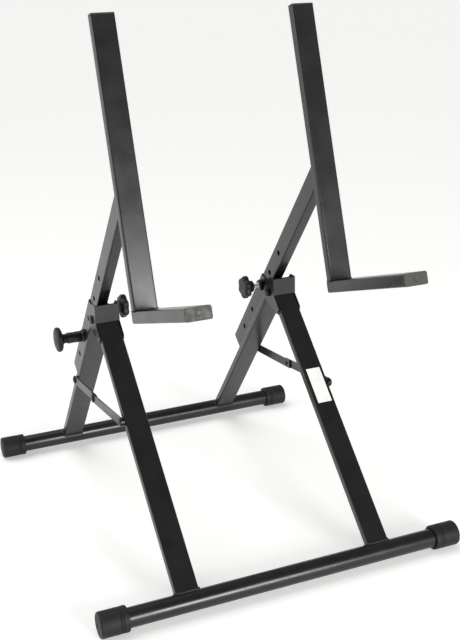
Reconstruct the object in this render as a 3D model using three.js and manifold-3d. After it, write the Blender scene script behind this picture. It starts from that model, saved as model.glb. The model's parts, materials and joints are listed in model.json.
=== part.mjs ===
// A folding tilt-back stand for an instrument amplifier. Two A-shaped side frames of flat oval
// tube are joined by round base tubes. A height post slides in a sleeve on each rear leg and
// carries a backrest upright and a support arm. Millimetres, +Z up, +X to the right, -Y to the
// front. Places are given from the floor midway between the base tubes; at the end the whole
// stand is moved so that its origin is on the floor under the middle of its bounding box.
import * as THREE from "three";
import { mergeVertices } from "three/addons/utils/BufferGeometryUtils.js";
import Module from "manifold-3d";

const wasm = await Module();
wasm.setup();

// ---- Driving dimensions ----
const GAP = 0.3; // between pieces that are welded, pressed or resting together
const WIDTH = 645; // over the end caps
const FRAME_X = 173; // centre plane of each side frame
const BASE_Y = 340; // base tube axes, in front of and behind the middle
const BASE = { radius: 16, wall: 1.2 };
const CAP = { radius: 21, length: 47, end: 5, sides: 24 };
const LEG = { width: 40, depth: 15, corner: 3, wall: 1.5 };
const FRONT_LEAN = -46.4; // degrees from upright, negative leaning back
const REAR_LEAN = 39;
const HINGE = { y: 43.4, z: 375, tube: 8, bolt: 4 };
const FRONT_LEG_END = 511; // along the front leg from its base tube's axis
const REAR_LEG_END = 468;
const BRACKET = {
  sheet: 2, ear: 20, earFrom: -70, earTo: 75, topRear: 37.4, top: 407, webFront: 20, foot: 474, corner: 1.5,
};
const BOLT = { tail: 4.5, head: 8, rim: 1.5, crown: 5.5, height: 3.2, nut: 7.5, nutHeight: 4 };
const POST = { width: 20, depth: 35, corner: 2.5, wall: 1.5, offset: 27.6, start: 262, end: 800 };
const SLEEVE = { wall: 2, corner: 4, start: 229, endFront: 460, endRear: 444, drill: 20.6 };
const HOLE = { radius: 5.2, pitch: 62, first: 288, count: 5 };
const SELECTOR_AT = 352; // along the rear leg
const CLAMP_AT = 435;
const BACKREST = { lean: -18, footY: -189.7, footZ: 460.8, width: 40, depth: 17.5, length: 464 };
const ARM = { width: 40, depth: 20, length: 249.5 };
const PLUG = { rim: 2.5, reach: 16 };
const SELECTOR = {
  housing: 10.2, collar: 12.2, from: 12.6, seat: 6, to: 46, cover: 2.5, bore: 7, shaft: 3, tip: 4.4,
  shoulder: 2, neck: 8.5, head: 23, headAt: 56, headHeight: 12.5,
};
const SPRING = { radius: 5, wire: 1.1, turns: 4, steps: 8, low: 21.8, high: 42.4 };
const CLAMP = {
  boss: 10.5, bossEnd: 23, screw: 4.7, hub: 11, hubFrom: 35, screwEnd: 47, knob: 22.5, lobe: 2, lobes: 6,
  headFrom: 44, headDepth: 13, edge: 2,
};
const STAY = {
  sheet: 2.5, width: 16, end: 12, rivet: 4, head: 7, rim: 1.2, crown: 4.5, dome: 2.6, height: 2.8,
  rearAt: 238, frontAt: 318,
};
const STAY_MID = { y: 55.5, z: 219.5 };
const LABEL = { width: 27, from: 279, to: 347, sheet: 0.5, gap: 0.1 };

// ---- Finishes ----
const finish = (color, roughness, metalness = 0) =>
  new THREE.MeshStandardMaterial({ color, roughness, metalness });
const POWDER_COAT = finish("#26272a", 0.38, 0.2);
const RUBBER = finish("#232325", 0.8);
const PLASTIC = finish("#45453f", 0.6);
const KNOB_PLASTIC = finish("#232322", 0.5);
const ZINC = finish("#a9a9a6", 0.35, 0.9);
const PAPER = finish("#e9eae4", 0.7);

// ---- Joining and cutting ----
function solidOf(geometry) {
  const bare = geometry.clone();
  bare.deleteAttribute("normal");
  bare.deleteAttribute("uv");
  const merged = mergeVertices(bare, 1e-4);
  return new wasm.Manifold(
    new wasm.Mesh({
      numProp: 3,
      vertProperties: merged.attributes.position.array,
      triVerts: new Uint32Array(merged.index.array),
    }),
  );
}

function geometryOf(solid) {
  const mesh = solid.getMesh();
  const geometry = new THREE.BufferGeometry();
  geometry.setAttribute("position", new THREE.BufferAttribute(mesh.vertProperties, 3));
  geometry.setIndex(new THREE.BufferAttribute(mesh.triVerts, 1));
  const faceted = geometry.toNonIndexed();
  faceted.computeVertexNormals();
  return faceted;
}

const cut = (geometry, ...tools) =>
  geometryOf(tools.reduce((solid, tool) => solid.subtract(solidOf(tool)), solidOf(geometry)));
const join = (geometry, ...others) =>
  geometryOf(others.reduce((solid, other) => solid.add(solidOf(other)), solidOf(geometry)));

// ---- Places: each member has its own frame, +Z along it and +Y to its rear side ----
const radians = THREE.MathUtils.degToRad;

function placeAt(y, z, leanDegrees) {
  return new THREE.Matrix4()
    .makeTranslation(0, y, z)
    .multiply(new THREE.Matrix4().makeRotationX(radians(leanDegrees)));
}

const FRONT_LEG = placeAt(-BASE_Y, CAP.radius, FRONT_LEAN);
const REAR_LEG = placeAt(BASE_Y, CAP.radius, REAR_LEAN);
const POST_LINE = REAR_LEG.clone().multiply(new THREE.Matrix4().makeTranslation(0, POST.offset, 0));
const UPRIGHT = placeAt(BACKREST.footY, BACKREST.footZ, BACKREST.lean);
const SIDE = new THREE.Matrix4(); // the side frame's own plane, unturned

// A tool shaped in one place, seen from the place of the piece that it cuts.
const seenFrom = (place, geometry, itsPlace) =>
  geometry.clone().applyMatrix4(place.clone().invert().multiply(itsPlace));

const pointFrom = (place, y, z) => new THREE.Vector3(0, y, z).applyMatrix4(place.clone().invert());

// ---- Shapes ----
function roundedRectangle(width, depth, corner) {
  const [x, y] = [width / 2 - corner, depth / 2 - corner];
  const shape = new THREE.Shape();
  shape.absarc(x, -y, corner, -Math.PI / 2, 0);
  shape.absarc(x, y, corner, 0, Math.PI / 2);
  shape.absarc(-x, y, corner, Math.PI / 2, Math.PI);
  shape.absarc(-x, -y, corner, Math.PI, 1.5 * Math.PI);
  return shape;
}

function bar(width, depth, corner, length) {
  const shape = roundedRectangle(width, depth, corner);
  return new THREE.ExtrudeGeometry(shape, { depth: length, bevelEnabled: false, curveSegments: 1 });
}

// A hollow rectangular tube along +Z, open at both ends.
function boxTube({ width, depth, corner, wall }, from, to) {
  const bore = bar(width - 2 * wall, depth - 2 * wall, corner - wall / 2, to - from + 2);
  return cut(bar(width, depth, corner, to - from), bore.translate(0, 0, -1)).translate(0, 0, from);
}

const block = (width, depth, height) => new THREE.BoxGeometry(width, depth, height);
const rodX = (radius, length, sides = 16) =>
  new THREE.CylinderGeometry(radius, radius, length, sides).rotateZ(Math.PI / 2);

// A round piece about +Z, from [radius, height] pairs that climb its outside from the axis back
// to the axis, or go round a closed ring section.
function turned(pairs, sides = 16) {
  const profile = pairs.map(([radius, height]) => new THREE.Vector2(radius, height));
  return new THREE.LatheGeometry(profile, sides).rotateX(Math.PI / 2);
}

// A flat plate in the side plane, its outline given in (y, z), its thickness from x to x + sheet.
function plateX(outline, sheet, x) {
  return new THREE.ExtrudeGeometry(outline, { depth: sheet, bevelEnabled: false, curveSegments: 5 })
    .applyMatrix4(new THREE.Matrix4().makeBasis(
      new THREE.Vector3(0, 1, 0), new THREE.Vector3(0, 0, 1), new THREE.Vector3(1, 0, 0)))
    .translate(x, 0, 0);
}

// ---- Groups ----
function named(name, geometry, material) {
  const mesh = new THREE.Mesh(geometry, material);
  mesh.name = name;
  return mesh;
}

function groupAt(matrix, ...children) {
  const group = new THREE.Group();
  group.applyMatrix4(matrix);
  return group.add(...children);
}

// A group whose +Z points along X, outwards (direction 1) or inwards (-1) on its side frame.
function sideways(direction, y, z, ...children) {
  const group = new THREE.Group();
  group.position.set(0, y, z);
  group.rotation.y = (direction * Math.PI) / 2;
  return group.add(...children);
}

// ---- Base tubes with their rubber caps ----
function baseTube() {
  const half = WIDTH / 2 - CAP.end - GAP;
  return cut(
    rodX(BASE.radius, 2 * half, CAP.sides), rodX(BASE.radius - BASE.wall, 2 * half + 2, CAP.sides));
}

function rubberCap() {
  const [inner, edge] = [BASE.radius + GAP, 2.5];
  return turned([
    [0, CAP.length], [CAP.radius - edge, CAP.length], [CAP.radius, CAP.length - edge],
    [CAP.radius, edge / 2], [CAP.radius - edge / 2, 0], [inner, 0],
    [inner, CAP.length - CAP.end], [0, CAP.length - CAP.end],
  ].reverse(), CAP.sides);
}

function base(end, y) {
  const caps = [["l", -1], ["r", 1]].map(([side, direction]) => {
    const cap = sideways(direction, 0, 0, named(`${end}_cap_${side}`, rubberCap(), RUBBER));
    cap.position.x = direction * (WIDTH / 2 - CAP.length);
    return cap;
  });
  return groupAt(
    placeAt(y, CAP.radius, 0), named(`${end}_base_tube`, baseTube(), POWDER_COAT), ...caps);
}

// ---- Legs, hinge and bracket ----
const hingeFromRear = pointFrom(REAR_LEG, HINGE.y, HINGE.z);

function leg(length) {
  return cut(boxTube(LEG, 0, length), rodX(BASE.radius + GAP, LEG.width + 2, CAP.sides));
}

const frontLeg = () => leg(FRONT_LEG_END);

function rearLeg() {
  const seat = rodX(HINGE.tube + GAP, LEG.width + 2);
  return cut(leg(REAR_LEG_END), seat.translate(0, hingeFromRear.y, hingeFromRear.z));
}

function hingeTube() {
  const [outer, inner, half] = [HINGE.tube, HINGE.bolt + 0.1, LEG.width / 2];
  return turned([[inner, -half], [outer, -half], [outer, half], [inner, half], [inner, -half]]);
}

// The bracket's side outline: up the leg, up the web, over the top and round the ear.
function bracketOutline() {
  const onLeg = (along, across) => new THREE.Vector3(0, across, along).applyMatrix4(FRONT_LEG);
  const [front, back] = [onLeg(BRACKET.foot, -LEG.depth / 2), onLeg(BRACKET.foot, LEG.depth / 2)];
  const frontLine = (y) =>
    front.z + ((y - front.y) * Math.cos(radians(FRONT_LEAN))) / -Math.sin(radians(FRONT_LEAN));
  const outline = new THREE.Shape();
  outline.moveTo(front.y, front.z);
  outline.lineTo(back.y, back.z);
  outline.absarc(HINGE.y, HINGE.z, BRACKET.ear, radians(BRACKET.earFrom), radians(BRACKET.earTo));
  outline.lineTo(BRACKET.topRear, BRACKET.top);
  outline.lineTo(BRACKET.webFront + BRACKET.corner, BRACKET.top);
  outline.lineTo(BRACKET.webFront, BRACKET.top - BRACKET.corner);
  outline.lineTo(BRACKET.webFront, frontLine(BRACKET.webFront));
  return outline;
}

function hingeBracket() {
  const [inside, outside] = [LEG.width + 2 * GAP, LEG.width + 2 * GAP + 2 * BRACKET.sheet];
  const whole = plateX(bracketOutline(), outside, -outside / 2);
  const reach = 120;
  const behindWeb = block(inside, reach, reach)
    .translate(0, BRACKET.webFront + BRACKET.sheet + reach / 2, BRACKET.top);
  const legRoom = block(inside, reach, reach)
    .translate(0, reach / 2 - LEG.depth / 2 - GAP, BRACKET.foot);
  const boltHole = rodX(HINGE.bolt + 0.1, outside + 2).translate(0, HINGE.y, HINGE.z);
  return cut(whole, behindWeb, seenFrom(SIDE, legRoom, FRONT_LEG), boltHole);
}

// A bolt through both ears and the hinge tube, its low round head outside the outer ear.
function hingeBolt() {
  const outside = LEG.width / 2 + GAP + BRACKET.sheet + GAP;
  return turned([
    [0, -outside - BOLT.tail], [HINGE.bolt, -outside - BOLT.tail], [HINGE.bolt, outside],
    [BOLT.head, outside], [BOLT.head, outside + BOLT.rim], [BOLT.crown, outside + BOLT.height],
    [0, outside + BOLT.height],
  ]);
}

function hingeNut() {
  const [start, bore] = [LEG.width / 2 + GAP + BRACKET.sheet + GAP, HINGE.bolt + GAP];
  const end = start + BOLT.nutHeight;
  const hexagon = turned([[0, start], [BOLT.nut, start], [BOLT.nut, end], [0, end]], 6);
  return cut(hexagon, turned([[0, start - 1], [bore, start - 1], [bore, end + 1], [0, end + 1]]));
}

// ---- Sleeve, post and their holes ----
const holesThrough = (positions, y, x, length) =>
  positions.map((z) => rodX(HOLE.radius, length, 12).translate(x, y, z));

function heightSleeve(direction) {
  const section = {
    width: POST.width + 2 * (GAP + SLEEVE.wall), depth: POST.depth + 2 * (GAP + SLEEVE.wall),
    corner: SLEEVE.corner, wall: SLEEVE.wall,
  };
  const slope = Math.atan2(SLEEVE.endFront - SLEEVE.endRear, section.depth);
  const topCut = block(60, 120, 60).translate(0, 0, 30).rotateX(-slope)
    .translate(0, 0, (SLEEVE.endFront + SLEEVE.endRear) / 2);
  const [wallX, drill] = [(direction * section.width) / 2, SLEEVE.drill];
  const outer = holesThrough([HOLE.first, HOLE.first + 2 * HOLE.pitch], 0, wallX, drill);
  const inner = holesThrough([HOLE.first, HOLE.first + HOLE.pitch], 0, -wallX, drill);
  const pinHole = rodX(SELECTOR.tip + GAP, drill).translate(wallX, 0, SELECTOR_AT);
  const screwHole = rodX(CLAMP.screw + GAP, drill).translate(-wallX, 0, CLAMP_AT);
  return cut(
    boxTube(section, SLEEVE.start, SLEEVE.endFront + 4), topCut, pinHole, screwHole,
    ...outer, ...inner);
}

function heightPost() {
  const positions = Array.from({ length: HOLE.count }, (_, i) => HOLE.first + i * HOLE.pitch);
  const reach = 200;
  const uprightRoom = block(reach, reach, 4 * reach)
    .translate(0, BACKREST.depth / 2 + GAP - reach / 2, 0);
  return cut(
    boxTube(POST, POST.start, POST.end), seenFrom(POST_LINE, uprightRoom, UPRIGHT),
    ...holesThrough(positions, 0, 0, POST.width + 4));
}

// A plug for a box tube's end: a rim as wide as the tube and a shank inside it, along +Z.
function tubePlug({ width, depth, corner, wall }) {
  const inside = 2 * (wall + GAP);
  const shank = bar(width - inside, depth - inside, corner - wall / 2, PLUG.reach + 1);
  return join(bar(width, depth, corner, PLUG.rim), shank.translate(0, 0, -PLUG.reach - GAP));
}

// ---- Backrest upright and support arm ----
const UPRIGHT_TUBE = { width: BACKREST.width, depth: BACKREST.depth, corner: 3, wall: 1.5 };
const ARM_TUBE = { width: ARM.width, depth: ARM.depth, corner: 3, wall: 1.5 };

function backrest(side) {
  const armEnd = ARM.length - BACKREST.depth / 2 - PLUG.rim;
  const armRear = BACKREST.depth / 2 - PLUG.rim;
  const seat = block(ARM.width + 2, BACKREST.depth + 4 * GAP, 2 * GAP);
  const alongArm = new THREE.Matrix4()
    .makeTranslation(0, 0, -ARM.depth / 2)
    .multiply(new THREE.Matrix4().makeRotationX(Math.PI / 2));
  const arm = cut(boxTube(ARM_TUBE, -armRear, armEnd).applyMatrix4(alongArm), seat);
  const upright = boxTube(UPRIGHT_TUBE, 0, BACKREST.length - PLUG.rim - GAP);
  const topPlug = tubePlug(UPRIGHT_TUBE).translate(0, 0, BACKREST.length - PLUG.rim);
  const frontPlug = tubePlug(ARM_TUBE).translate(0, 0, armEnd + GAP).applyMatrix4(alongArm);
  const rearPlug = cut(
    tubePlug(ARM_TUBE).rotateX(Math.PI).translate(0, 0, -armRear - GAP).applyMatrix4(alongArm),
    seat);
  return groupAt(
    UPRIGHT,
    named(`backrest_upright_${side}`, upright, POWDER_COAT),
    named(`support_arm_${side}`, arm, POWDER_COAT),
    named(`backrest_plug_${side}`, topPlug, PLASTIC),
    named(`arm_front_plug_${side}`, frontPlug, PLASTIC),
    named(`arm_rear_plug_${side}`, rearPlug, PLASTIC));
}

// ---- Height selector: a sprung pull pin in a housing on the sleeve's outer face ----
function pinHousing() {
  const { housing, collar, from, seat, to, cover, bore, shaft, tip } = SELECTOR;
  return turned([
    [tip + GAP, from], [collar, from], [collar, from + seat - 2], [housing, from + seat],
    [housing, to - 1], [housing - 1, to], [shaft + GAP, to], [shaft + GAP, to - cover],
    [bore, to - cover], [bore, from + seat], [tip + GAP, from + seat], [tip + GAP, from],
  ]);
}

function selectorPin() {
  const { from, seat, shaft, shoulder, tip, bore, headAt } = SELECTOR;
  const rest = from + seat + GAP;
  return turned([
    [0, POST.width / 2 + GAP], [tip - 0.8, POST.width / 2 + GAP], [tip, POST.width / 2 + 1.2],
    [tip, rest], [bore - GAP, rest], [bore - GAP, rest + shoulder], [shaft, rest + shoulder],
    [shaft, headAt + 4], [0, headAt + 4],
  ]);
}

function selectorSpring() {
  const { low, high } = SPRING;
  const steps = SPRING.turns * SPRING.steps;
  const helix = new THREE.CatmullRomCurve3(Array.from({ length: steps + 1 }, (_, i) => {
    const angle = (i / steps) * SPRING.turns * 2 * Math.PI;
    return new THREE.Vector3(
      SPRING.radius * Math.cos(angle), SPRING.radius * Math.sin(angle),
      low + (high - low) * (i / steps));
  }));
  const wire = new THREE.Shape();
  wire.absarc(0, 0, SPRING.wire / 2, 0, 2 * Math.PI);
  return new THREE.ExtrudeGeometry(wire, {
    steps, bevelEnabled: false, extrudePath: helix, curveSegments: 3,
  });
}

// The mushroom knob is hollowed on the axis so that the pin's end sits in it.
function selectorKnob() {
  const { neck, head, headAt, headHeight, shaft, to } = SELECTOR;
  const bore = shaft + GAP;
  return turned([
    [bore, to + GAP], [neck, to + GAP], [neck + 1, headAt - 2], [head - 5, headAt],
    [head, headAt + 4], [head, headAt + 7], [head - 3.5, headAt + headHeight - 2],
    [head - 12, headAt + headHeight - 0.5],
    [0, headAt + headHeight], [0, headAt + 4 + GAP], [bore, headAt + 4 + GAP], [bore, to + GAP],
  ], 28);
}

// ---- Height clamp: a knob on a screw in a boss on the sleeve's inner face ----
function clampBoss() {
  const [start, bore] = [SELECTOR.from, CLAMP.screw + GAP];
  return turned([
    [bore, start], [CLAMP.boss, start], [CLAMP.boss, CLAMP.bossEnd - 1],
    [CLAMP.boss - 1, CLAMP.bossEnd], [bore, CLAMP.bossEnd], [bore, start],
  ]);
}

function clampScrew() {
  const [start, end] = [POST.width / 2 + GAP, CLAMP.screwEnd];
  return turned([
    [0, start], [CLAMP.screw - 1, start], [CLAMP.screw, start + 1], [CLAMP.screw, end], [0, end],
  ]);
}

function clampKnob() {
  const { hub, hubFrom, screw, screwEnd, knob, lobe, lobes, headFrom, headDepth, edge } = CLAMP;
  const steps = lobes * 6;
  const outline = new THREE.Shape(Array.from({ length: steps }, (_, i) => {
    const angle = (i / steps) * 2 * Math.PI;
    const radius = knob - lobe + lobe * Math.cos(lobes * angle);
    return new THREE.Vector2(radius * Math.cos(angle), radius * Math.sin(angle));
  }));
  const head = new THREE.ExtrudeGeometry(outline, {
    depth: headDepth - 2 * edge, bevelEnabled: true, bevelThickness: edge, bevelSize: edge,
    bevelOffset: -edge, bevelSegments: 1,
  }).translate(0, 0, headFrom + edge);
  const neckEnd = headFrom + 2 * edge;
  const neck = turned([[0, hubFrom], [hub, hubFrom], [hub + 1, neckEnd], [0, neckEnd]]);
  const bore = screw + GAP;
  const socket = turned([
    [0, hubFrom - 1], [bore, hubFrom - 1], [bore, screwEnd + GAP], [0, screwEnd + GAP],
  ]);
  return cut(join(head, neck), socket);
}

// ---- Folding stay: two flat links on the outer side of each side frame ----
const REAR_LINK_X = LEG.width / 2 + 1; // from the frame's centre plane to the link's inner face
const FRONT_LINK_X = REAR_LINK_X + STAY.sheet + GAP;
const rearPivot = new THREE.Vector3(0, 0, STAY.rearAt).applyMatrix4(REAR_LEG);
const frontPivot = new THREE.Vector3(0, 0, STAY.frontAt).applyMatrix4(FRONT_LEG);

// A link with a round drilled end at its leg and a square drilled end past the middle joint.
function stayLink(pivot, innerX, direction) {
  const [dy, dz] = [STAY_MID.y - pivot.y, STAY_MID.z - pivot.z];
  const [length, half, hole] = [Math.hypot(dy, dz), STAY.width / 2, STAY.rivet + 0.1];
  const outline = new THREE.Shape();
  outline.absarc(0, 0, half, Math.PI / 2, 1.5 * Math.PI);
  outline.lineTo(length + STAY.end, -half);
  outline.lineTo(length + STAY.end, half);
  const x = direction > 0 ? innerX : -innerX - STAY.sheet;
  const drill = rodX(hole, 4 * REAR_LINK_X);
  return cut(plateX(outline, STAY.sheet, x), drill, drill.clone().translate(0, length, 0))
    .rotateX(Math.atan2(dz, dy))
    .translate(0, pivot.y, pivot.z);
}

// A headed pin through a link, with a spacer between the link and its leg where it has one.
function stayPin(innerX, spacer) {
  const { rivet, head, rim, crown, dome, height } = STAY;
  const under = innerX + STAY.sheet + GAP;
  const foot = spacer ? [[0, LEG.width / 2 + GAP], [head, LEG.width / 2 + GAP],
    [head, innerX - GAP], [rivet, innerX - GAP]] : [[0, innerX], [rivet, innerX]];
  return turned([
    ...foot, [rivet, under], [head, under], [head, under + rim], [crown, under + dome],
    [0, under + height],
  ]);
}

// ---- One side of the stand ----
function rearSide(side, direction) {
  const onPost = new THREE.Matrix4().makeTranslation(0, POST.offset, 0);
  const endPlug = tubePlug(POST).rotateX(Math.PI).translate(0, 0, POST.start - GAP);
  return groupAt(
    REAR_LEG,
    named(`rear_leg_${side}`, rearLeg(), POWDER_COAT),
    groupAt(
      onPost,
      named(`height_sleeve_${side}`, heightSleeve(direction), POWDER_COAT),
      named(`height_post_${side}`, heightPost(), POWDER_COAT),
      named(`post_end_plug_${side}`, endPlug, PLASTIC),
      sideways(
        direction, 0, SELECTOR_AT,
        named(`pin_housing_${side}`, pinHousing(), POWDER_COAT),
        named(`selector_pin_${side}`, selectorPin(), ZINC),
        named(`selector_spring_${side}`, selectorSpring(), ZINC),
        named(`selector_knob_${side}`, selectorKnob(), KNOB_PLASTIC)),
      sideways(
        -direction, 0, CLAMP_AT,
        named(`clamp_boss_${side}`, clampBoss(), POWDER_COAT),
        named(`clamp_screw_${side}`, clampScrew(), ZINC),
        named(`clamp_knob_${side}`, clampKnob(), KNOB_PLASTIC))));
}

function hinge(side, direction) {
  return groupAt(
    SIDE,
    named(`hinge_bracket_${side}`, hingeBracket(), POWDER_COAT),
    sideways(
      direction, HINGE.y, HINGE.z,
      named(`hinge_tube_${side}`, hingeTube(), POWDER_COAT),
      named(`hinge_bolt_${side}`, hingeBolt(), ZINC)),
    sideways(-direction, HINGE.y, HINGE.z, named(`hinge_nut_${side}`, hingeNut(), ZINC)));
}

function stay(side, direction) {
  const pin = (name, place, innerX, spacer) => sideways(
    direction, place.y, place.z, named(`${name}_${side}`, stayPin(innerX, spacer), ZINC));
  return groupAt(
    SIDE,
    named(`stay_rear_link_${side}`, stayLink(rearPivot, REAR_LINK_X, direction), POWDER_COAT),
    named(`stay_front_link_${side}`, stayLink(frontPivot, FRONT_LINK_X, direction), POWDER_COAT),
    pin("stay_rear_rivet", rearPivot, REAR_LINK_X, true),
    pin("stay_front_bolt", frontPivot, FRONT_LINK_X, true),
    pin("stay_mid_rivet", STAY_MID, FRONT_LINK_X, false));
}

function frontSide(side) {
  return groupAt(FRONT_LEG, named(`front_leg_${side}`, frontLeg(), POWDER_COAT));
}

function label() {
  const sticker = block(LABEL.width, LABEL.sheet, LABEL.to - LABEL.from);
  return sticker.translate(
    FRAME_X, -LEG.depth / 2 - LABEL.gap - LABEL.sheet / 2, (LABEL.from + LABEL.to) / 2);
}

// ---- The whole stand ----
const stand = new THREE.Group();
stand.add(base("rear", BASE_Y), base("front", -BASE_Y));
stand.add(groupAt(FRONT_LEG, named("label", label(), PAPER)));
for (const [side, direction] of [["l", -1], ["r", 1]]) {
  const sideFrame = new THREE.Group();
  sideFrame.position.x = direction * FRAME_X;
  sideFrame.add(
    rearSide(side, direction), frontSide(side), hinge(side, direction), stay(side, direction),
    backrest(side));
  stand.add(sideFrame);
}

const box = new THREE.Box3().setFromObject(stand, true);
stand.position.y = -(box.min.y + box.max.y) / 2;

export default stand;
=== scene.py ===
"""The finish of a folding tilt-back amplifier stand: black powder-coated tube, rubber end caps,
moulded plugs and knobs, zinc-plated fasteners, weld beads and a plain label. Metres."""

import json
import math

import bmesh
import bpy
from mathutils import Matrix, Vector

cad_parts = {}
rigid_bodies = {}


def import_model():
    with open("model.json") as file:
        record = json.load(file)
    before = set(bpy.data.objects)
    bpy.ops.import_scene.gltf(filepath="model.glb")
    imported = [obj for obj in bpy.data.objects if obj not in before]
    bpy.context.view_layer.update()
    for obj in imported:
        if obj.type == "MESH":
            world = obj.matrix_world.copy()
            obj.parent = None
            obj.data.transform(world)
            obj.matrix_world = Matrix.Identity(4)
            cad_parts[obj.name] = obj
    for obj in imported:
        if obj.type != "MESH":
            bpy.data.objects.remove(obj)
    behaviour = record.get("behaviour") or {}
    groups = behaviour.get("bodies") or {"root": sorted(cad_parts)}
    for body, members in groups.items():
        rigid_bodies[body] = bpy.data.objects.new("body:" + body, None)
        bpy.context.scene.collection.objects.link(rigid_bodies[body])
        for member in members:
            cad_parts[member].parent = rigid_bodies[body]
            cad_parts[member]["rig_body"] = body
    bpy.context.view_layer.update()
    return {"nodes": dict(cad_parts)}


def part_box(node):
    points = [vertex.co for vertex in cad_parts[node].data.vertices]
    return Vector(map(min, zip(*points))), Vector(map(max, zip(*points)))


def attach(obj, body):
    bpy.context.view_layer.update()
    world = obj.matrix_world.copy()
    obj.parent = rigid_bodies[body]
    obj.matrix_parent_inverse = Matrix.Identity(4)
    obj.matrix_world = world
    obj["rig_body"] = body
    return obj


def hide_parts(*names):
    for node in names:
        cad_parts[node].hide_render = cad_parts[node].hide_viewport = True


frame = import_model()

MM = 0.001
SIDES = {"l": -1, "r": 1}

# ---- Sizes in millimetres and leans in degrees, as in the CAD ----
GAP = 0.3  # between welded pieces
FRONT_LEAN, REAR_LEAN, BACKREST_LEAN = -46.4, 39, -18
POST_OFFSET = 27.6  # the post's centre line behind the rear leg's
BACKREST_FOOT = (-189.7, 460.8)
LEG_WIDTH, LEG_DEPTH, LEG_CORNER = 40, 15, 3
BASE_RADIUS, BASE_WALL = 16, 1.2
HINGE_TUBE_HALF = 20
PIECE_FACE = 12.6  # where housings and bosses start, from the side frame's centre plane
ARM_FRONT = 241.1
ARM_MIDDLE = -10
BACK_FACE = 17.5 / 2 + 0.7  # the bead's line on the upright's rear face
LOBE_DEPTH = 3.2  # from a lobe's crest to the hollow beside it
BEAD_STEP = 1.1  # between a bead's points: four points make one ripple of the weld


def middle(node):
    low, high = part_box(node)
    return (low + high) / 2


# ---- Places: each member's own frame, +Z along it and +Y to its rear side ----
FRONT_TUBE = middle("front_base_tube")
REAR_TUBE = middle("rear_base_tube")
STAND_Y = (FRONT_TUBE.y + REAR_TUBE.y) / 2
FRAME_X = middle("front_leg_r").x


def place(x, y, z, lean):
    return Matrix.Translation((x, y, z)) @ Matrix.Rotation(math.radians(lean), 4, "X")


def front_leg_place(side):
    return place(side * FRAME_X, FRONT_TUBE.y, FRONT_TUBE.z, FRONT_LEAN)


def rear_leg_place(side):
    return place(side * FRAME_X, REAR_TUBE.y, REAR_TUBE.z, REAR_LEAN)


def post_place(side):
    return rear_leg_place(side) @ Matrix.Translation((0, POST_OFFSET * MM, 0))


def upright_place(side):
    y, z = BACKREST_FOOT
    return place(side * FRAME_X, STAND_Y + y * MM, z * MM, BACKREST_LEAN)


def sideways(node, direction):
    """A frame whose +Z points along X (direction 1) or against it, with its origin at the centre
    plane of the side frame that the node is on, in line with the node's middle."""
    centre = middle(node)
    turn = Matrix.Rotation(direction * math.pi / 2, 4, "Y")
    return Matrix.Translation((math.copysign(FRAME_X, centre.x), centre.y, centre.z)) @ turn


# ---- Materials ----
def linear(hex_colour):
    """An sRGB hex colour as linear RGBA."""
    values = [int(hex_colour[i:i + 2], 16) / 255 for i in (1, 3, 5)]
    return (*[v / 12.92 if v <= 0.04045 else ((v + 0.055) / 1.055) ** 2.4 for v in values], 1)


def add(tree, kind, settings=None, **inputs):
    """Adds a node with its settings, and sets or links its inputs by name."""
    node = tree.nodes.new(kind)
    for key, value in (settings or {}).items():
        setattr(node, key, value)
    for key, value in inputs.items():
        socket = node.inputs[key.replace("_", " ")]
        if isinstance(value, bpy.types.NodeSocket):
            tree.links.new(value, socket)
        else:
            socket.default_value = value
    return node


def surface(name, **inputs):
    """A material with a Principled shader. Returns the material, its tree and the shader."""
    material = bpy.data.materials.new(name)
    material.use_nodes = True
    tree = material.node_tree
    tree.nodes.clear()
    shader = add(tree, "ShaderNodeBsdfPrincipled", **inputs)
    out = add(tree, "ShaderNodeOutputMaterial")
    tree.links.new(shader.outputs["BSDF"], out.inputs["Surface"])
    return material, tree, shader


def noise(tree, size_mm, detail=2.0, roughness=0.5):
    """Noise on Object coordinates whose blotches are about size_mm across."""
    where = add(tree, "ShaderNodeTexCoord")
    return add(
        tree, "ShaderNodeTexNoise", Vector=where.outputs["Object"], Scale=1000 / size_mm,
        Detail=detail, Roughness=roughness).outputs["Fac"]


def spread(tree, value, low, high, start=0.35, end=0.65):
    """The value's usual span, start to end, turned to low to high."""
    node = add(tree, "ShaderNodeMapRange", Value=value)
    for socket, number in zip(node.inputs[1:5], (start, end, low, high)):
        socket.default_value = number
    return node.outputs["Result"]


def tint(tree, value, dark, light):
    """A colour between two hex colours by the value."""
    ramp = add(tree, "ShaderNodeValToRGB", Fac=value)
    ramp.color_ramp.elements[0].color = linear(dark)
    ramp.color_ramp.elements[1].color = linear(light)
    ramp.color_ramp.elements[0].position = 0.3
    ramp.color_ramp.elements[1].position = 0.7
    return ramp.outputs["Color"]


def bump(tree, height, depth_mm, strength=1.0):
    return add(
        tree, "ShaderNodeBump", Height=height, Strength=strength,
        Distance=depth_mm * MM).outputs["Normal"]


def link(tree, shader, **sockets):
    for name, source in sockets.items():
        tree.links.new(source, shader.inputs[name.replace("_", " ")])


def black_powder_coat():
    """Baked polyester powder: satin black with a faint orange peel. The real peel is about 1 mm
    across, and is drawn at 3 mm so that it shows."""
    material, tree, shader = surface("black_powder_coat", IOR=1.5)
    peel = noise(tree, 3.0, 1.0)
    cloud = noise(tree, 45.0, 3.0)
    link(
        tree, shader,
        Base_Color=tint(tree, cloud, "#0f0f0e", "#141413"),
        Roughness=spread(tree, cloud, 0.24, 0.31),
        Normal=bump(tree, peel, 0.05, 0.35))
    return material


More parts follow.
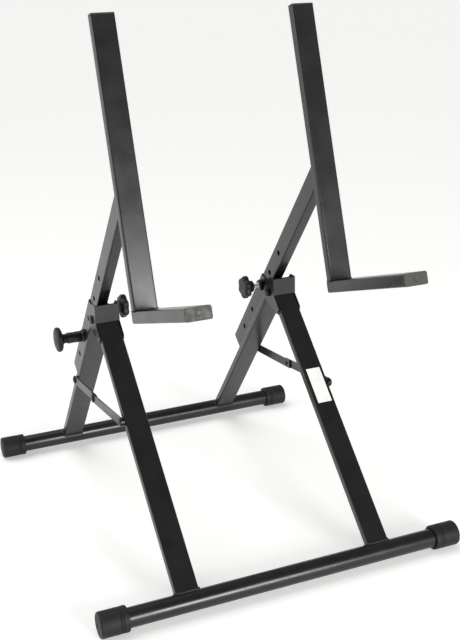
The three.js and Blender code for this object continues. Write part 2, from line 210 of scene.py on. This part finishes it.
def weld_under_powder():
    """The coat over a weld bead: the same black, pulled thinner and a little rougher."""
    material, tree, shader = surface("coated_weld", IOR=1.5)
    grain = noise(tree, 1.5, 3.0)
    link(
        tree, shader,
        Base_Color=tint(tree, grain, "#0e0e0d", "#161615"),
        Roughness=spread(tree, grain, 0.3, 0.45),
        Normal=bump(tree, grain, 0.15, 0.5))
    return material


def black_rubber():
    """Moulded EPDM rubber: matt, a little dusty grey, with a fine eroded grain drawn at 1.2 mm."""
    material, tree, shader = surface("moulded_rubber", IOR=1.52, Specular_IOR_Level=0.3)
    grain = noise(tree, 1.2, 2.0)
    dust = noise(tree, 22.0, 4.0, 0.6)
    link(
        tree, shader,
        Base_Color=tint(tree, dust, "#141414", "#1e1e1e"),
        Roughness=spread(tree, dust, 0.5, 0.66),
        Normal=bump(tree, grain, 0.12, 0.4))
    return material


def knob_nylon():
    """Glass-filled nylon: black with a soft sheen from the mould's spark-eroded grain, drawn at
    1 mm so that it shows."""
    material, tree, shader = surface("moulded_nylon", IOR=1.53, Specular_IOR_Level=0.25)
    grain = noise(tree, 1.0, 2.0)
    flow = noise(tree, 14.0, 3.0)
    link(
        tree, shader,
        Base_Color=tint(tree, flow, "#10100f", "#181817"),
        Roughness=spread(tree, flow, 0.38, 0.5),
        Normal=bump(tree, grain, 0.08, 0.4))
    return material


def plug_polyethylene():
    """Low-density polyethylene: grey-black, waxy, with flow marks that show as soft blotches."""
    material, tree, shader = surface("moulded_polyethylene", IOR=1.51)
    flow = noise(tree, 9.0, 3.0)
    grain = noise(tree, 1.5, 2.0)
    link(
        tree, shader,
        Base_Color=tint(tree, flow, "#23241f", "#2d2e27"),
        Roughness=spread(tree, flow, 0.42, 0.58),
        Normal=bump(tree, grain, 0.06, 0.35))
    return material


def bright_zinc():
    """Clear-passivated zinc plate: bright grey with a faint crystalline mottle, 2 mm across."""
    material, tree, shader = surface("bright_zinc_plate", Metallic=1.0)
    mottle = noise(tree, 2.0, 3.0)
    stain = noise(tree, 11.0, 2.0)
    link(
        tree, shader,
        Base_Color=tint(tree, stain, "#a8a9a6", "#bfc0bf"),
        Roughness=spread(tree, mottle, 0.26, 0.4),
        Normal=bump(tree, mottle, 0.03, 0.4))
    return material


def black_zinc():
    """Black-passivated zinc plate: a dark oily metal with a faint mottle, 2 mm across."""
    material, tree, shader = surface("black_zinc_plate", Metallic=1.0)
    mottle = noise(tree, 2.0, 3.0)
    stain = noise(tree, 9.0, 2.0)
    link(
        tree, shader,
        Base_Color=tint(tree, stain, "#303030", "#3c3c3a"),
        Roughness=spread(tree, mottle, 0.3, 0.42),
        Normal=bump(tree, mottle, 0.03, 0.4))
    return material


def label_film():
    """White vinyl film: smooth, with a slight orange peel where it follows the coat beneath."""
    material, tree, shader = surface("white_vinyl_film", IOR=1.5)
    cloud = noise(tree, 16.0, 2.0)
    peel = noise(tree, 3.5, 1.0)
    link(
        tree, shader,
        Base_Color=tint(tree, cloud, "#e6e7e2", "#efefeb"),
        Roughness=spread(tree, cloud, 0.4, 0.5),
        Normal=bump(tree, peel, 0.03, 0.3))
    return material


COAT, WELD, RUBBER = black_powder_coat(), weld_under_powder(), black_rubber()
NYLON, PLUG, FILM = knob_nylon(), plug_polyethylene(), label_film()
ZINC, BLACK_ZINC = bright_zinc(), black_zinc()


# ---- Making pieces ----
def piece(name, bm, material, body, stands_for=(), edge=0.0, segments=2, edge_angle=28):
    """Turns a bmesh into an object that rides on a body. edge is the radius in millimetres of its
    softened edges."""
    for face in bm.faces:
        face.smooth = True
    mesh = bpy.data.meshes.new(name)
    bm.to_mesh(mesh)
    bm.free()
    mesh.materials.append(material)
    obj = bpy.data.objects.new(name, mesh)
    bpy.context.scene.collection.objects.link(obj)
    if edge:
        soft = obj.modifiers.new("edges", "BEVEL")
        soft.width = edge * MM
        soft.segments = segments
        soft.limit_method = "ANGLE"
        soft.angle_limit = math.radians(edge_angle)
        soft.harden_normals = True
    flat = obj.modifiers.new("flats", "WEIGHTED_NORMAL")
    flat.keep_sharp = True
    flat.weight = 80
    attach(obj, body)
    if stands_for:
        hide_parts(*stands_for)
    return obj


def cad_copy(node):
    """A CAD node's shape with its triangles merged back into flat faces."""
    bm = bmesh.new()
    bm.from_mesh(frame["nodes"][node].data)
    bmesh.ops.remove_doubles(bm, verts=bm.verts, dist=0.01 * MM)
    bmesh.ops.dissolve_limit(
        bm, angle_limit=math.radians(1.5), verts=bm.verts, edges=bm.edges,
        use_dissolve_boundaries=False)
    return bm


def finish_node(node, material, edge=0.5, segments=2, edge_angle=28):
    """The CAD shape itself with softened edges and its finish."""
    body = frame["nodes"][node]["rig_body"]
    return piece(
        f"{node}_finished", cad_copy(node), material, body, [node], edge, segments, edge_angle)


def turned(profile, where, steps=64):
    """A bmesh turned about +Z from (radius, height) pairs in millimetres, moved to its place."""
    bm = bmesh.new()
    ring = [bm.verts.new((radius * MM, 0, height * MM)) for radius, height in profile]
    edges = [bm.edges.new(pair) for pair in zip(ring, ring[1:])]
    bmesh.ops.spin(
        bm, geom=ring + edges, cent=(0, 0, 0), axis=(0, 0, 1), angle=2 * math.pi, steps=steps,
        use_merge=True, use_duplicate=False)
    bmesh.ops.remove_doubles(bm, verts=bm.verts, dist=0.001 * MM)
    bmesh.ops.recalc_face_normals(bm, faces=bm.faces)
    bm.transform(where)
    return bm


def ring_bar(profile, where, steps=64):
    """The same for a ring with a bore: the profile closes on itself."""
    return turned([*profile, profile[0]], where, steps)


def swept(points, radius, closed=False, ripple=0.0, pitch=4):
    """A bmesh of a round bar through points, its radius in millimetres swelling every few points."""
    curve = bpy.data.curves.new("sweep", "CURVE")
    curve.dimensions = "3D"
    curve.bevel_depth = radius * MM
    curve.bevel_resolution = 2
    curve.use_fill_caps = True
    spline = curve.splines.new("POLY")
    spline.points.add(len(points) - 1)
    for i, point in enumerate(points):
        spline.points[i].co = (*point, 1)
        spline.points[i].radius = 1 + ripple * math.cos(2 * math.pi * i / pitch)
    spline.use_cyclic_u = closed
    carrier = bpy.data.objects.new("sweep", curve)
    bpy.context.scene.collection.objects.link(carrier)
    mesh = bpy.data.meshes.new_from_object(
        carrier.evaluated_get(bpy.context.evaluated_depsgraph_get()))
    bm = bmesh.new()
    bm.from_mesh(mesh)
    bpy.data.objects.remove(carrier)
    bpy.data.curves.remove(curve)
    bpy.data.meshes.remove(mesh)
    bmesh.ops.remove_doubles(bm, verts=bm.verts, dist=0.001 * MM)
    bmesh.ops.recalc_face_normals(bm, faces=bm.faces)
    return bm


# ---- Weld beads ----
def rectangle_path(width, depth, corner, height):
    """Points round a rounded rectangle, in millimetres, each at height(x, y)."""
    points = []
    half_x, half_y = width / 2 - corner, depth / 2 - corner
    corners = [
        (half_x, -half_y, -90), (half_x, half_y, 0), (-half_x, half_y, 90),
        (-half_x, -half_y, 180)]
    for index, (x, y, start) in enumerate(corners):
        for step in range(5):
            angle = math.radians(start + step * 22.5)
            points.append((x + corner * math.cos(angle), y + corner * math.sin(angle)))
        next_x, next_y, next_start = corners[(index + 1) % 4]
        first = (
            next_x + corner * math.cos(math.radians(next_start)),
            next_y + corner * math.sin(math.radians(next_start)))
        points += line_points(points[-1], first)[1:-1]
    return [Vector((x, y, height(x, y))) * MM for x, y in points]


def line_points(start, end):
    """Evenly spaced points from start to end, in millimetres."""
    start, end = Vector(start), Vector(end)
    count = max(2, round((end - start).length / BEAD_STEP))
    return [tuple(start.lerp(end, i / count)) for i in range(count + 1)]


def weld(name, points, where, body, radius=1.7, closed=True):
    """A weld bead along points given in a member's own frame, in metres."""
    bm = swept([where @ point for point in points], radius, closed, ripple=0.16)
    return piece(name, bm, WELD, body)


def seam(name, start, end, where, body, radius=1.6):
    """A straight weld bead between two points in a member's own frame, in millimetres."""
    points = [Vector(point) * MM for point in line_points(start, end)]
    return weld(name, points, where, body, radius, closed=False)


# ---- Base tubes and their end caps ----
def base(end, body):
    node = f"{end}_base_tube"
    low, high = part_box(node)
    radius, half = (high.z - low.z) / 2 / MM, (high.x - low.x) / 2 / MM
    where = Matrix.Translation(middle(node)) @ Matrix.Rotation(math.pi / 2, 4, "Y")
    tube = ring_bar(
        [(radius - BASE_WALL, -half), (radius, -half), (radius, half),
         (radius - BASE_WALL, half)], where, 96)
    piece(f"{end}_base_tube_finished", tube, COAT, body, [node], 0.3)
    for side in SIDES:
        end_cap(f"{end}_cap_{side}", body)


def end_cap(node, body):
    """A rubber cap: a rounded end with a moulded dimple, two grip grooves and a thin lip."""
    centre = middle(node)
    low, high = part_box(node)
    length, radius = (high.x - low.x) / MM, (high.z - low.z) / 2 / MM
    inner, thickness, groove = 16.3, 5, 0.9
    outwards = math.copysign(1, centre.x)
    where = Matrix.Translation((centre.x - outwards * length / 2 * MM, centre.y, centre.z)) \
        @ Matrix.Rotation(outwards * math.pi / 2, 4, "Y")
    round_edge, crown = 3.4, 0.6
    edge = [
        (radius - round_edge + round_edge * math.sin(math.radians(a)),
         length - crown - round_edge + round_edge * math.cos(math.radians(a)))
        for a in range(90, -1, -15)]
    grooves = [
        point for at in (9, 13)
        for point in (
            (radius, at), (radius - groove, at + 0.8), (radius - groove, at + 1.4),
            (radius, at + 2.2))]
    profile = [
        (0, length - thickness), (inner, length - thickness), (inner, 0), (radius - 1.6, 0),
        (radius - 0.5, 0.5), (radius, 1.8), *grooves, *edge, (radius * 0.62, length - 0.2),
        (radius * 0.6, length - 0.7), (radius * 0.56, length - 0.7), (radius * 0.54, length - 0.1),
        (3.2, length), (2.4, length - 0.9), (0, length - 1.1)]
    piece(f"{node}_finished", turned(profile, where, 72), RUBBER, body, [node], 0.25, 2, 35)


# ---- Legs, hinge and stay ----
def legs(tag, side):
    finish_node(f"front_leg_{tag}", COAT)
    finish_node(f"rear_leg_{tag}", COAT)
    tube_radius = BASE_RADIUS + 0.5

    def on_base(x, y):
        return math.sqrt(tube_radius ** 2 - y ** 2)

    foot = rectangle_path(LEG_WIDTH + 2 * GAP, LEG_DEPTH + 2 * GAP, LEG_CORNER + GAP, on_base)
    weld(f"front_leg_weld_{tag}", foot, front_leg_place(side), "front_frame", 2.1)
    weld(f"rear_leg_weld_{tag}", foot, rear_leg_place(side), "rear_frame", 2.1)


def hinge(tag, side):
    finish_node(f"hinge_bracket_{tag}", COAT, 0.7, 3)
    where = sideways(f"hinge_tube_{tag}", side)
    half = HINGE_TUBE_HALF
    tube = ring_bar([(4.1, -half), (8, -half), (8, half), (4.1, half)], where)
    piece(f"hinge_tube_{tag}_finished", tube, COAT, "rear_frame", [f"hinge_tube_{tag}"], 0.4)
    bolt = turned(
        [(0, -27.1), (3.2, -27.1), (4, -26.3), (4, 22.6), (8, 22.6), (8, 23.6), (7.2, 25),
         (5.4, 25.7), (2.6, 25.8), (2.2, 24.9), (0, 24.9)], where)
    piece(f"hinge_bolt_{tag}_finished", bolt, BLACK_ZINC, "front_frame", [f"hinge_bolt_{tag}"], 0.2)
    finish_node(f"hinge_nut_{tag}", BLACK_ZINC, 0.5)
    leg = front_leg_place(side)
    for name, x in (("outer", side), ("inner", -side)):
        start, end = (x * 20.6, -4.5, 472), (x * 20.6, 5, 472)
        seam(f"bracket_weld_{name}_{tag}", start, end, leg, "front_frame")


def stay(tag, side):
    """Two flat links and their shouldered pins with low domed heads."""
    for node in ("stay_rear_link", "stay_front_link"):
        finish_node(f"{node}_{tag}", COAT, 0.35)
    pins = {
        "stay_rear_rivet": ("rear_frame", 20.3, 20.7, 23.8),
        "stay_front_bolt": ("front_frame", 20.3, 23.5, 26.6),
        "stay_mid_rivet": (f"stay_front_{tag}", None, 23.8, 26.6)}
    for name, (body, foot, shoulder, head) in pins.items():
        node = f"{name}_{tag}"
        start = [(0, shoulder), (4, shoulder)]
        if foot:
            start = [(0, foot), (7, foot), (7, shoulder), (4, shoulder)]
        dome = [
            (4, head), (7, head), (7, head + 0.9), (6.3, head + 1.8), (4.9, head + 2.4),
            (2.9, head + 2.7), (1.6, head + 2.75), (1.2, head + 2.3), (0, head + 2.2)]
        bm = turned([*start, *dome], sideways(node, side), 48)
        piece(f"{node}_finished", bm, BLACK_ZINC, body, [node], 0.15)


# ---- Sleeve, post, upright and arm ----
def height_parts(tag, side):
    post = post_place(side)
    for node in ("height_sleeve", "height_post"):
        finish_node(f"{node}_{tag}", COAT, 0.4)
    for x in (-11.6, 11.6):
        low, high = ((x, -19.6, 236), (x, -19.6, 262)), ((x, -19.6, 400), (x, -19.6, 428))
        for level, ends in (("low", low), ("high", high)):
            side_name = "outer" if x * side > 0 else "inner"
            seam(f"sleeve_weld_{level}_{side_name}_{tag}", *ends, post, "rear_frame", 1.5)
    finish_node(f"post_end_plug_{tag}", PLUG, 0.6)


def backrest(tag, side):
    upright = upright_place(side)
    body = f"backrest_{tag}"
    for node in ("backrest_upright", "support_arm"):
        finish_node(f"{node}_{tag}", COAT, 0.4)
    for node in ("backrest_plug", "arm_front_plug", "arm_rear_plug"):
        finish_node(f"{node}_{tag}", PLUG, 0.8, 3)
    for x in (-20.1, 20.1):
        side_name = "outer" if x * side > 0 else "inner"
        seam(f"foot_weld_{side_name}_{tag}", (x, -6, 0), (x, 6, 0), upright, body, 1.3)
    for x in (-10.6, 10.6):
        side_name = "outer" if x * side > 0 else "inner"
        seam(f"post_weld_{side_name}_{tag}", (x, BACK_FACE, 176), (x, BACK_FACE, 214), upright, body, 1.9)
    plug_centre(tag, upright, body)


def plug_centre(tag, upright, body):
    """The shallow round gate mark in the middle of the arm's front plug."""
    centre = Matrix.Translation((0, -ARM_FRONT * MM, ARM_MIDDLE * MM))
    face = upright @ centre @ Matrix.Rotation(math.pi / 2, 4, "X")
    disc = turned([(0, -0.4), (5, -0.4), (5, 0.2), (4.4, 0.3), (4, 0.05), (0, 0.05)], face, 40)
    piece(f"arm_plug_gate_{tag}", disc, PLUG, body)


# ---- Height selector and clamp ----
def selector(tag, side):
    where = sideways(f"pin_housing_{tag}", side)
    housing = ring_bar(
        [(4.7, PIECE_FACE), (12.2, PIECE_FACE), (12.2, 16), (11.4, 17.2), (10.2, 18), (10.2, 33), (9.8, 33.4),
         (9.8, 34.6), (10.2, 35), (10.2, 45), (9.4, 46), (3.3, 46), (3.3, 43.5), (7, 43.5),
         (7, 18.6), (4.7, 18.6)], where)
    piece(f"pin_housing_{tag}_finished", housing, COAT, "rear_frame", [f"pin_housing_{tag}"], 0.3)
    pin = turned(
        [(0, 10.3), (3.4, 10.3), (4.4, 11.3), (4.4, 18.9), (6.7, 18.9), (6.7, 20.9), (3, 20.9),
         (3, 60), (0, 60)], where, 48)
    body = f"selector_{tag}"
    piece(f"selector_pin_{tag}_finished", pin, ZINC, body, [f"selector_pin_{tag}"], 0.15)
    spring = frame["nodes"][f"selector_spring_{tag}"]
    spring.data.materials.clear()
    spring.data.materials.append(ZINC)
    head, shoulder, rise = 23, 63, 5.4
    crown = [
        (head * math.sin(math.radians(a)), shoulder + rise * math.cos(math.radians(a)) ** 0.8)
        for a in range(80, 9, -10)]
    knob = turned(
        [(0, 60.3), (3.3, 60.3), (3.3, 46.3), (8.5, 46.3), (8.7, 50), (9.6, 53.5),
         (12.5, 55.6), (18, 56.2), (21.6, 57.8), (head, 60.4), (head, shoulder), *crown,
         (0, 68.4)], where, 72)
    piece(f"selector_knob_{tag}_finished", knob, NYLON, body, [f"selector_knob_{tag}"], 0.3, 2, 35)


def clamp(tag, side):
    where = sideways(f"clamp_boss_{tag}", -side)
    boss = ring_bar(
        [(5, PIECE_FACE), (10.5, PIECE_FACE), (10.5, 22), (9.5, 23), (5, 23)], where)
    piece(f"clamp_boss_{tag}_finished", boss, COAT, "rear_frame", [f"clamp_boss_{tag}"], 0.3)
    thread = [
        point for at in range(14, 44)
        for point in ((4.15, at), (4.7, at + 0.4), (4.7, at + 0.5), (4.15, at + 0.9))]
    screw = turned(
        [(0, 10.3), (3.5, 10.3), (4.4, 11.3), (4.15, 13), *thread, (4.7, 44.5), (4.7, 47),
         (0, 47)], where, 48)
    piece(f"clamp_screw_{tag}_finished", screw, ZINC, f"clamp_screw_{tag}", [f"clamp_screw_{tag}"])
    piece(
        f"clamp_knob_{tag}_finished", lobed_knob(where), NYLON, f"clamp_knob_{tag}",
        [f"clamp_knob_{tag}"], 0.3, 2, 40)


def lobed_knob(where):
    """Six soft lobes round a domed head, on a round neck with a blind bore for the screw."""
    lobes, around = 6, 120
    layers = [
        (5, 47.3, 0), (5, 35, 0), (9.8, 35, 0), (11, 36.4, 0), (11.4, 41, 0), (13, 43.4, 0.2),
        (17.5, 44.4, 0.8), (21, 45.4, 1), (22, 47, 1), (22.2, 50, 1), (22, 53, 1), (21.2, 55, 1),
        (19.4, 56.4, 0.9), (16, 57, 0.5), (10, 57.2, 0.1), (5, 57, 0)]
    bm = bmesh.new()
    ring = bmesh.ops.create_circle(
        bm, segments=around, radius=layers[0][0] * MM, cap_ends=True)["verts"]
    shape_layer(ring, layers[0], lobes)
    edges = list({edge for vert in ring for edge in vert.link_edges})
    for layer in layers[1:]:
        made = bmesh.ops.extrude_edge_only(bm, edges=edges)["geom"]
        ring = [item for item in made if isinstance(item, bmesh.types.BMVert)]
        edges = [item for item in made if isinstance(item, bmesh.types.BMEdge)]
        shape_layer(ring, layer, lobes)
    bmesh.ops.holes_fill(bm, edges=edges)
    bmesh.ops.recalc_face_normals(bm, faces=bm.faces)
    bm.transform(where)
    return bm


def shape_layer(ring, layer, lobes):
    """Sets a ring of vertices to a radius and height, with its lobes cut to the given share."""
    radius, height, share = layer
    for vert in ring:
        angle = math.atan2(vert.co.y, vert.co.x)
        reach = radius - LOBE_DEPTH * share * (0.5 - 0.5 * math.cos(lobes * angle))
        vert.co = Vector((reach * math.cos(angle), reach * math.sin(angle), height)) * MM


def label():
    finish_node("label", FILM, 0.15)


# ---- Studio ----
def studio():
    floor_bm = bmesh.new()
    bmesh.ops.create_circle(floor_bm, segments=96, radius=60, cap_ends=True)
    floor_mesh = bpy.data.meshes.new("studio_floor")
    floor_bm.to_mesh(floor_mesh)
    floor_bm.free()
    floor = bpy.data.objects.new("studio_floor", floor_mesh)
    bpy.context.scene.collection.objects.link(floor)
    paper, _tree, _shader = surface(
        "pale_paper", Base_Color=linear("#f4f4f2"), Roughness=0.9,
        Emission_Color=(1, 1, 1, 1), Emission_Strength=0.3)
    floor_mesh.materials.append(paper)

    world = bpy.data.worlds.new("studio")
    bpy.context.scene.world = world
    world.use_nodes = True
    tree = world.node_tree
    tree.nodes.clear()
    where = add(tree, "ShaderNodeTexCoord")
    height = add(tree, "ShaderNodeSeparateXYZ", Vector=where.outputs["Generated"]).outputs["Z"]
    ramp = add(tree, "ShaderNodeValToRGB", Fac=height)
    ramp.color_ramp.elements[0].color = (1, 1, 1, 1)
    ramp.color_ramp.elements[0].position = 0.12
    ramp.color_ramp.elements[1].color = (0.25, 0.25, 0.25, 1)
    ramp.color_ramp.elements[1].position = 0.5
    glow = add(tree, "ShaderNodeBackground", Color=ramp.outputs["Color"], Strength=1.0)
    out = add(tree, "ShaderNodeOutputWorld")
    tree.links.new(glow.outputs["Background"], out.inputs["Surface"])

    soft_box("left_box", (-2.6, 1.2, 1.2), (0, 0, 0.4), 1.6, 22)
    soft_box("front_box", (0.62, -2.9, 0.82), (-0.1, 0, 0.55), 0.95, 60)
    sky = bpy.data.lights.new("overhead", "SUN")
    sky.energy, sky.angle = 1.15, math.radians(50)
    overhead = bpy.data.objects.new("overhead", sky)
    overhead.rotation_euler = (math.radians(-20), math.radians(-14), 0)
    bpy.context.scene.collection.objects.link(overhead)


def soft_box(name, position, target, size, power):
    light = bpy.data.lights.new(name, "AREA")
    light.shape = "SQUARE"
    light.size = size
    light.energy = power
    obj = bpy.data.objects.new(name, light)
    obj.location = position
    obj.rotation_euler = (Vector(target) - Vector(position)).to_track_quat("-Z", "Y").to_euler()
    bpy.context.scene.collection.objects.link(obj)


def camera():
    """Eye height just above the stand's top, from the front left, looking down on it."""
    yaw, pitch, roll = (math.radians(a) for a in (22.99, 18.6, -1.32))
    level = math.cos(pitch)
    forward = Vector((math.sin(yaw) * level, math.cos(yaw) * level, -math.sin(pitch)))
    right = Vector((math.cos(yaw), -math.sin(yaw), 0))
    up = right.cross(forward)
    level_right = right * math.cos(roll) + up * math.sin(roll)
    level_up = -right * math.sin(roll) + up * math.cos(roll)
    data = bpy.data.cameras.new("camera")
    data.sensor_width = 36
    data.lens = 60.94
    data.shift_x, data.shift_y = 0.002, -0.0205
    data.clip_end = 200
    obj = bpy.data.objects.new("camera", data)
    turn = Matrix((level_right, level_up, -forward)).transposed().to_4x4()
    obj.matrix_world = Matrix.Translation((-0.6793, STAND_Y - 1.7197, 1.0029)) @ turn
    bpy.context.scene.collection.objects.link(obj)
    bpy.context.scene.camera = obj
    bpy.context.scene.view_settings.view_transform = "Standard"


camera()
base("front", "front_frame")
base("rear", "rear_frame")
for tag, side in SIDES.items():
    legs(tag, side)
    hinge(tag, side)
    stay(tag, side)
    height_parts(tag, side)
    backrest(tag, side)
    selector(tag, side)
    clamp(tag, side)
label()
studio()
